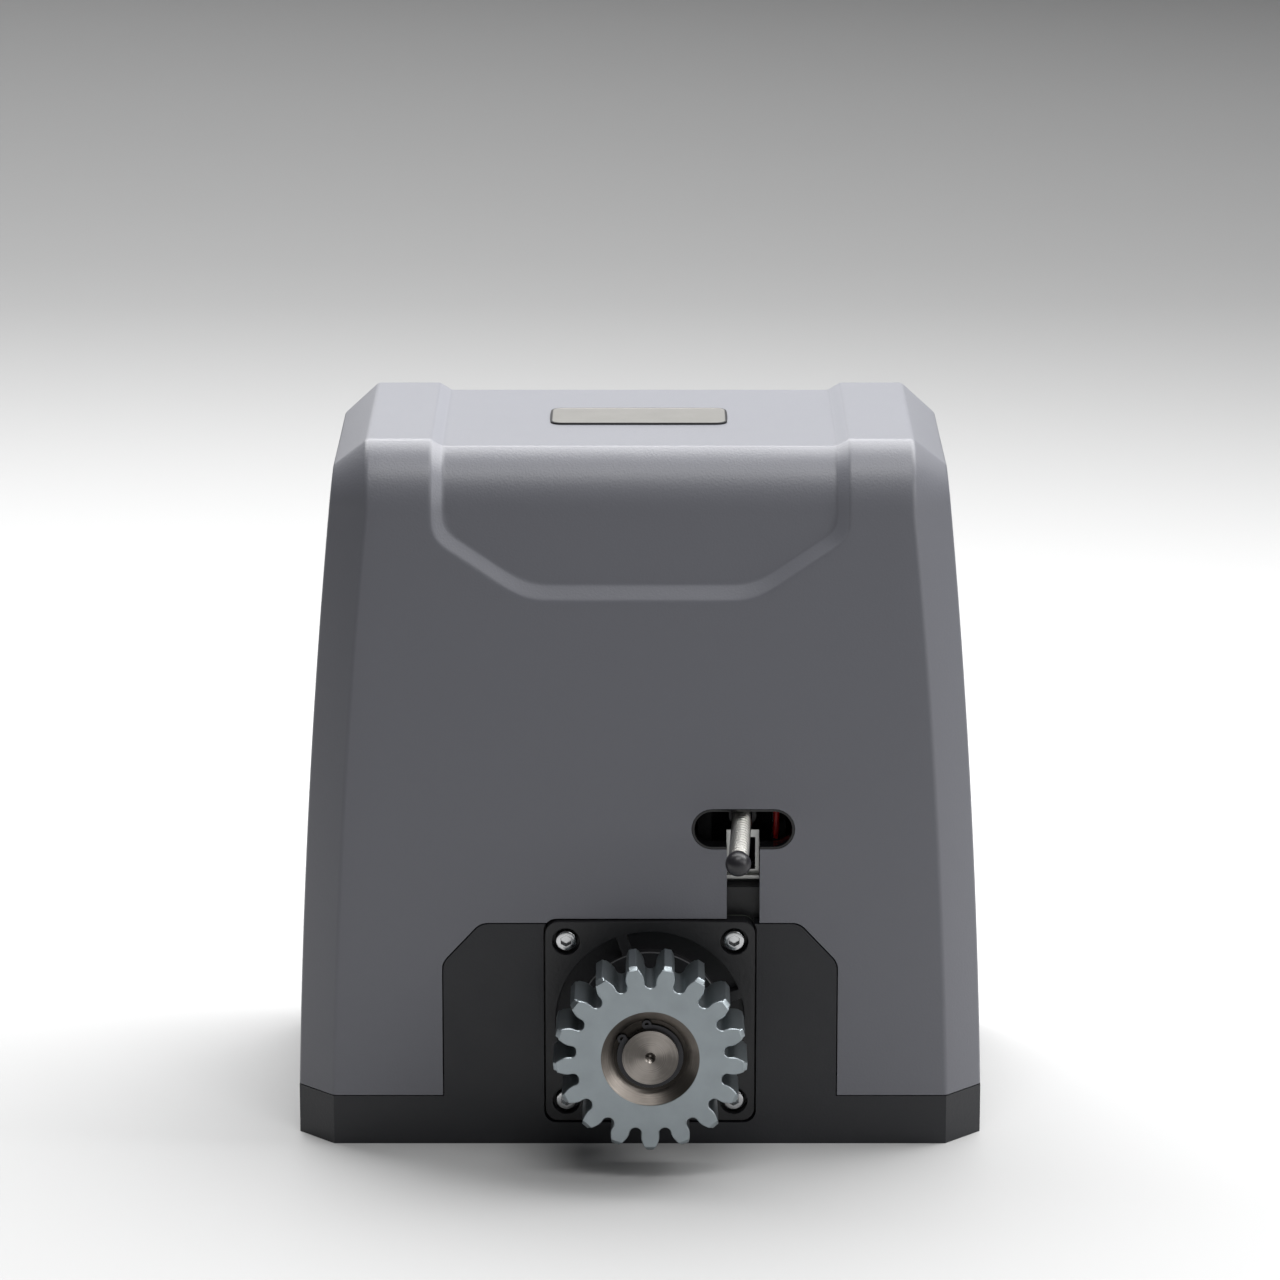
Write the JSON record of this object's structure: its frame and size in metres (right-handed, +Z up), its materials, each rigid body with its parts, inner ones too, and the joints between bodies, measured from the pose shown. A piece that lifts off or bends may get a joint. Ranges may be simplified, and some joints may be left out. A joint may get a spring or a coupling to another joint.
{
  "type": "sliding gate motor",
  "caption": "Sliding gate motor: grey moulded hood on a black cast base, front rack pinion on a worm gearbox, spring limit switch and rear release lever.",
  "frame": {"origin": "centre of the base footprint on the mounting surface", "axes": "+X to the right seen from the gate, +Y to the rear away from the gate, +Z up"},
  "size_m": [0.273, 0.2159, 0.281],
  "materials": {
    "hood_plastic": "fine moulded grain, satin",
    "black_paint": "fine satin black paint on cast aluminium",
    "black_casting": "black coated machined casting",
    "black_plastic": "satin moulding",
    "silver_plate": "satin anodised, blank",
    "zinc_steel": "bright zinc plate",
    "machined_steel": "turned bright steel",
    "spring_steel": "drawn spring wire",
    "black_steel": "phosphated",
    "bronze": "machined bronze",
    "aluminium_casting": "as cast",
    "lamination": "stacked sheets",
    "copper_winding": "enamelled copper",
    "rubber": "soft black",
    "gasket_paper": "fibre sheet",
    "white_plastic": "plain moulding",
    "board_green": "solder mask",
    "terminal_green": "plain moulding",
    "wire_red": "insulated wire",
    "can_aluminium": "drawn can"
  },
  "bodies": {
    "motor_body": {"cover_shell": "hood_plastic", "window_bezel": "black_plastic", "nameplate": "silver_plate", "base_tray": "black_paint", "gearbox_housing": "black_paint", "output_flange": "black_casting", "flange_screws": "zinc_steel", "flange_gasket": "gasket_paper", "oil_seal": "rubber", "front_bearing": "machined_steel", "rear_bearing": "machined_steel", "lever_pin": "machined_steel", "worm_lower_bearing": "machined_steel", "worm_upper_bearing": "machined_steel", "motor_top_bearing": "machined_steel", "motor_gasket": "gasket_paper", "motor_flange": "aluminium_casting", "stator_core": "lamination", "stator_windings": "copper_winding", "motor_end_bell": "aluminium_casting", "motor_tie_screws": "zinc_steel", "limit_bracket": "zinc_steel", "limit_switch_housing": "black_plastic", "rocker_pin": "machined_steel", "microswitches": "black_plastic", "board_tray": "black_plastic", "circuit_board": "board_green", "board_screws": "zinc_steel", "relays": "black_plastic", "terminal_blocks": "terminal_green", "fuse_holder": "black_plastic", "transformer": "lamination", "run_capacitor": "can_aluminium", "capacitor_clip": "zinc_steel", "cable_gland": "rubber", "cover_screws": "zinc_steel", "housing_screws": "zinc_steel", "switch_lead": "wire_red"},
    "rotor": {"worm_shaft": "machined_steel", "rotor_core": "lamination"},
    "wheel": {"worm_wheel": "bronze", "wheel_bush": "machined_steel"},
    "output": {"output_shaft": "machined_steel", "pinion": "zinc_steel", "pinion_key": "machined_steel", "pinion_circlip": "black_steel", "clutch_spring": "spring_steel"},
    "clutch": {"clutch_ring": "machined_steel", "release_rod": "machined_steel"},
    "lever": {"release_lever": "black_steel"},
    "lock": {"lock_cylinder": "zinc_steel"},
    "limit": {"limit_rocker": "black_plastic", "limit_spring": "spring_steel", "spring_tip": "rubber"},
    "left_contact": {"left_plunger": "white_plastic"},
    "right_contact": {"right_plunger": "white_plastic"}
  },
  "joints": [
    {"name": "rotor_spin", "type": "hinge", "parent": "motor_body", "child": "rotor", "pos_m": [-0.038, 0, 0.051], "axis": [0, 0, 1], "continuous": true},
    {"name": "wheel_spin", "type": "hinge", "parent": "motor_body", "child": "wheel", "pos_m": [0.004, 0, 0.051], "axis": [0, 1, 0], "continuous": true},
    {"name": "output_spin", "type": "hinge", "parent": "motor_body", "child": "output", "pos_m": [0.004, 0, 0.051], "axis": [0, 1, 0], "continuous": true},
    {"name": "clutch_slide", "type": "slide", "parent": "output", "child": "clutch", "axis": [0, -1, 0], "range_m": [0, 0.004], "deforming": ["clutch_spring"]},
    {"name": "release_swing", "type": "hinge", "parent": "motor_body", "child": "lever", "pos_m": [0.004, 0.073, 0.051], "axis": [0, 0, 1], "range_deg": [0, 90]},
    {"name": "lock_turn", "type": "hinge", "parent": "lever", "child": "lock", "pos_m": [0.042, 0.078, 0.051], "axis": [0, 1, 0], "range_deg": [0, 90]},
    {"name": "limit_swing", "type": "hinge", "parent": "motor_body", "child": "limit", "pos_m": [0.0408, -0.05, 0.1295], "axis": [0, 0, 1], "range_deg": [-20, 20], "stiffness_Nm_per_rad": 0.3},
    {"name": "left_press", "type": "slide", "parent": "motor_body", "child": "left_contact", "axis": [-1, 0, 0], "range_m": [0, 0.0012], "stiffness_N_per_m": 400},
    {"name": "right_press", "type": "slide", "parent": "motor_body", "child": "right_contact", "axis": [1, 0, 0], "range_m": [0, 0.0012], "stiffness_N_per_m": 400}
  ],
  "couplings": [
    {"joint": "wheel_spin", "follows": "rotor_spin", "ratio": -0.033333},
    {"joint": "output_spin", "follows": "rotor_spin", "ratio": -0.033333},
    {"joint": "clutch_slide", "follows": "release_swing", "m_per_rad": 0.0025465}
  ]
}
